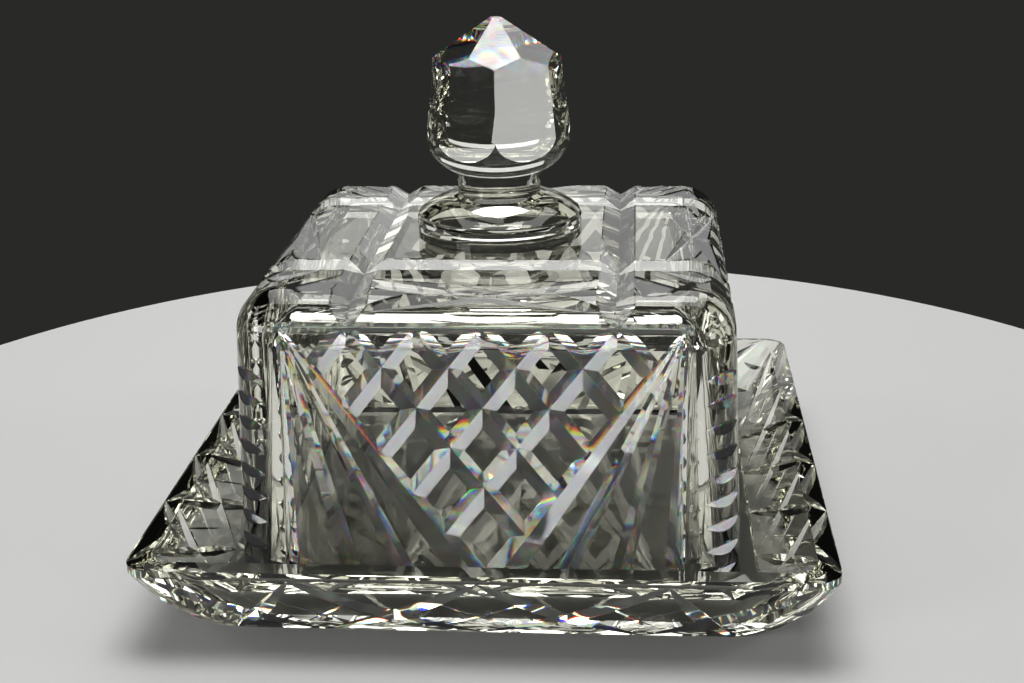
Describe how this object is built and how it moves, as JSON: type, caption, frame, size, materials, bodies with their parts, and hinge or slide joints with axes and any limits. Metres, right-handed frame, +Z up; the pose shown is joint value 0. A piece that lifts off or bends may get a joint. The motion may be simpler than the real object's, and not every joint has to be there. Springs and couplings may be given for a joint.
{
  "type": "butter dish",
  "caption": "Square cut-crystal butter dish: a shallow tray with a bellied cut wall, and a loose box-shaped cover with a faceted knob.",
  "frame": {"origin": "under the middle of the dish, on the face that it stands on", "axes": "+Z up through the knob; +X along one side of the square dish and -Y its front"},
  "size_m": [0.17, 0.17, 0.1382],
  "materials": {
    "dish_crystal": "polished clear lead crystal with polished mitre cuts",
    "cover_crystal": "polished clear lead crystal with satin wheel-ground grooves",
    "knob_crystal": "polished clear lead crystal facets"
  },
  "bodies": {
    "dish": {"dish": "dish_crystal"},
    "cover": {"cover": "cover_crystal", "knob": "knob_crystal"}
  },
  "joints": [
    {"name": "cover_lift", "type": "slide", "parent": "dish", "child": "cover", "axis": [0, 0, 1], "range_m": [0, 0.12]}
  ]
}
